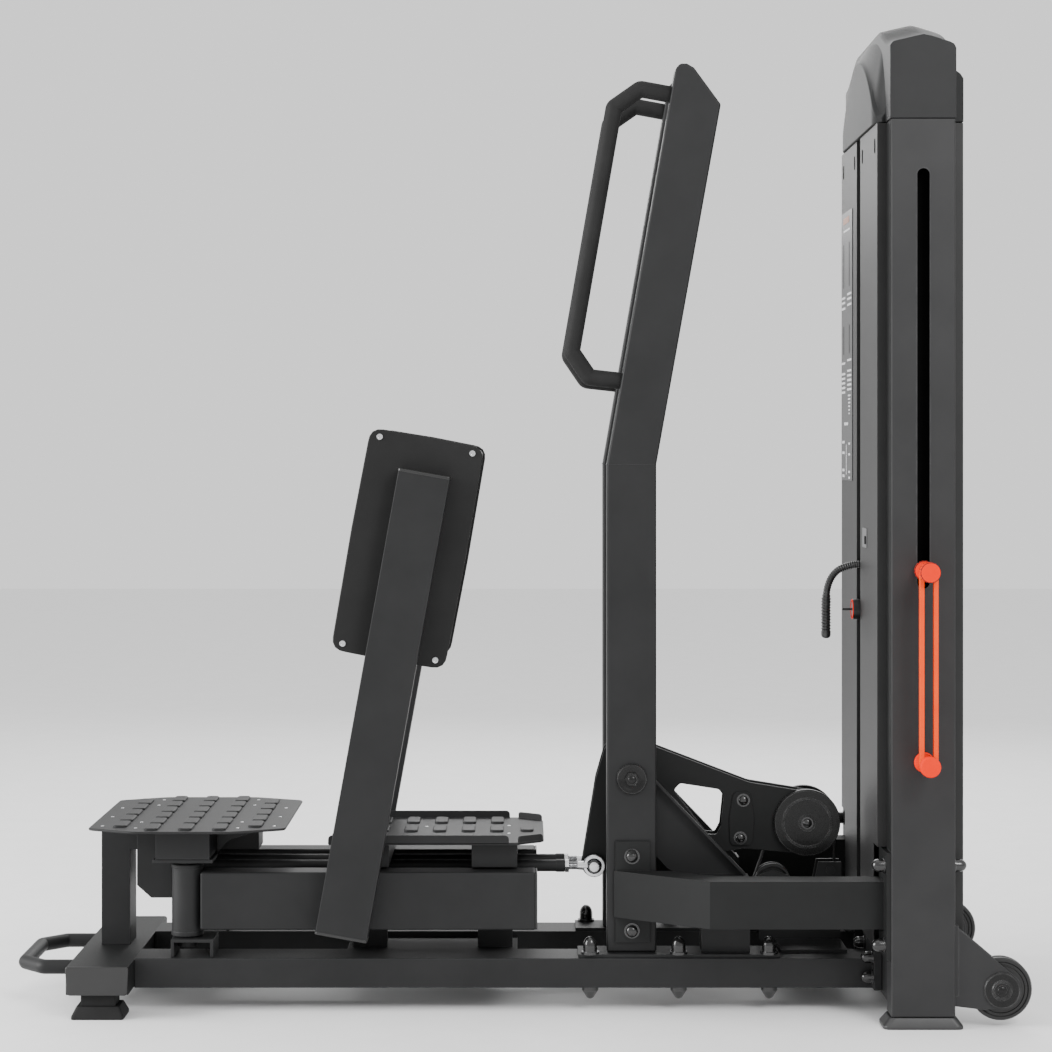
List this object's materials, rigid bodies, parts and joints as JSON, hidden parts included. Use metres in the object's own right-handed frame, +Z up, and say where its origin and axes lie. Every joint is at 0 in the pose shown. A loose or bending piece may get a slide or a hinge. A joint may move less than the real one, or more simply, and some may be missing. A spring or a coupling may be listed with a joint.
{
  "type": "standing hip abduction machine",
  "caption": "Standing selectorised leg machine with two swinging thigh pads, a foot plate, grab handles and a weight tower with band pegs.",
  "frame": {"origin": "on the floor, at the middle of the machine's length and width", "axes": "+X towards the weight tower, +Y to the far side, +Z up"},
  "size_m": [1.948, 0.81, 1.907],
  "materials": {
    "coat": "satin black powder coat",
    "sheet": "fine-textured charcoal powder coat",
    "rubber": "matt black rubber",
    "vinyl": "matt black upholstery vinyl",
    "board": "matt black moulded back board",
    "pulley": "black nylon",
    "knob": "satin black plastic with an orange ring",
    "steel": "bright zinc-plated steel",
    "iron": "black painted iron",
    "orange": "satin orange plastic",
    "band": "orange latex"
  },
  "bodies": {
    "frame": {"base_cross_member": "coat", "cable": "pulley", "far_band": "band", "far_base_foot": "rubber", "far_base_rail": "coat", "far_brace": "coat", "far_column": "coat", "far_column_foot": "rubber", "far_front_panel": "sheet", "far_grab_handle": "rubber", "far_guide_rod": "steel", "far_lower_peg": "orange", "far_pivot_mount": "coat", "far_upright": "coat", "far_upright_mount": "coat", "foot_plate": "sheet", "foot_plate_frame": "coat", "lever_shaft": "coat", "lift_handle": "coat", "lower_weight_plates": "iron", "near_band": "band", "near_base_foot": "rubber", "near_base_rail": "coat", "near_brace": "coat", "near_column": "coat", "near_column_foot": "rubber", "near_front_panel": "sheet", "near_grab_handle": "rubber", "near_guide_rod": "steel", "near_lower_peg": "orange", "near_pivot_mount": "coat", "near_upright": "coat", "near_upright_mount": "coat", "platform_frame": "coat", "pulley_bracket": "coat", "rear_panel": "sheet", "step_platform": "sheet", "tower_base": "coat", "tower_cap": "coat", "tower_top": "coat"},
    "near_arm": {"near_swing_beam": "coat", "near_pad_arm": "coat", "near_pad_board": "board", "near_pad_cushion": "vinyl"},
    "far_arm": {"far_swing_beam": "coat", "far_pad_arm": "coat", "far_pad_board": "board", "far_pad_cushion": "vinyl"},
    "lever": {"lever": "coat"},
    "near_rod": {"near_push_rod": "steel"},
    "far_rod": {"far_push_rod": "steel"},
    "lever_pulley": {"lever_pulley": "pulley"},
    "base_pulley": {"base_pulley": "pulley"},
    "tower_pulley": {"tower_pulley": "pulley"},
    "top_pulley": {"top_pulley": "pulley"},
    "stack": {"stack_carriage": "iron", "tether": "rubber"},
    "selector_pin": {"selector_pin": "knob"},
    "near_wheel": {"near_wheel": "rubber"},
    "far_wheel": {"far_wheel": "rubber"}
  },
  "joints": [
    {"name": "near_arm_swing", "type": "hinge", "parent": "frame", "child": "near_arm", "pos_m": [-0.635, -0.13, 0.2], "axis": [0, 0, -1], "range_deg": [0, 35]},
    {"name": "far_arm_swing", "type": "hinge", "parent": "frame", "child": "far_arm", "pos_m": [-0.635, 0.13, 0.2], "axis": [0, 0, 1], "range_deg": [0, 35]},
    {"name": "lever_swing", "type": "hinge", "parent": "frame", "child": "lever", "pos_m": [0.229, 0, 0.445], "axis": [0, -1, 0], "range_deg": [0, 17.5]},
    {"name": "near_rod_tilt", "type": "hinge", "parent": "lever", "child": "near_rod", "pos_m": [0.159, -0.035, 0.257], "axis": [0, -1, 0], "range_deg": [-18.4, 0]},
    {"name": "far_rod_tilt", "type": "hinge", "parent": "lever", "child": "far_rod", "pos_m": [0.159, 0.035, 0.257], "axis": [0, -1, 0], "range_deg": [-18.4, 0]},
    {"name": "lever_pulley_turn", "type": "hinge", "parent": "lever", "child": "lever_pulley", "pos_m": [0.582, 0, 0.342], "axis": [0, 1, 0], "range_deg": [0, 130]},
    {"name": "base_pulley_turn", "type": "hinge", "parent": "frame", "child": "base_pulley", "pos_m": [0.516, 0, 0.22], "axis": [0, 1, 0], "range_deg": [0, 345]},
    {"name": "tower_pulley_turn", "type": "hinge", "parent": "frame", "child": "tower_pulley", "pos_m": [0.801, 0, 0.221], "axis": [0, 1, 0], "range_deg": [0, 335]},
    {"name": "top_pulley_turn", "type": "hinge", "parent": "frame", "child": "top_pulley", "pos_m": [0.801, 0, 1.752], "axis": [0, 1, 0], "range_deg": [0, 335]},
    {"name": "stack_lift", "type": "slide", "parent": "frame", "child": "stack", "axis": [0, 0, 1], "range_m": [0, 0.2225], "deforming": ["near_band", "far_band", "cable"]},
    {"name": "selector_pin_pull", "type": "slide", "parent": "stack", "child": "selector_pin", "axis": [-1, 0, 0], "range_m": [0, 0.09]},
    {"name": "near_wheel_turn", "type": "hinge", "parent": "frame", "child": "near_wheel", "pos_m": [0.915, -0.294, 0.071], "axis": [0, 1, 0], "continuous": true},
    {"name": "far_wheel_turn", "type": "hinge", "parent": "frame", "child": "far_wheel", "pos_m": [0.915, 0.294, 0.071], "axis": [0, 1, 0], "continuous": true}
  ],
  "couplings": [
    {"joint": "far_arm_swing", "follows": "near_arm_swing", "ratio": 1},
    {"joint": "lever_swing", "follows": "near_arm_swing", "ratio": 0.5},
    {"joint": "near_rod_tilt", "follows": "near_arm_swing", "ratio": -0.5245},
    {"joint": "far_rod_tilt", "follows": "near_arm_swing", "ratio": -0.5245},
    {"joint": "lever_pulley_turn", "follows": "near_arm_swing", "ratio": 3.66},
    {"joint": "base_pulley_turn", "follows": "near_arm_swing", "ratio": 9.77},
    {"joint": "tower_pulley_turn", "follows": "near_arm_swing", "ratio": 9.51},
    {"joint": "top_pulley_turn", "follows": "near_arm_swing", "ratio": 9.51},
    {"joint": "stack_lift", "follows": "near_arm_swing", "m_per_rad": 0.3634}
  ]
}
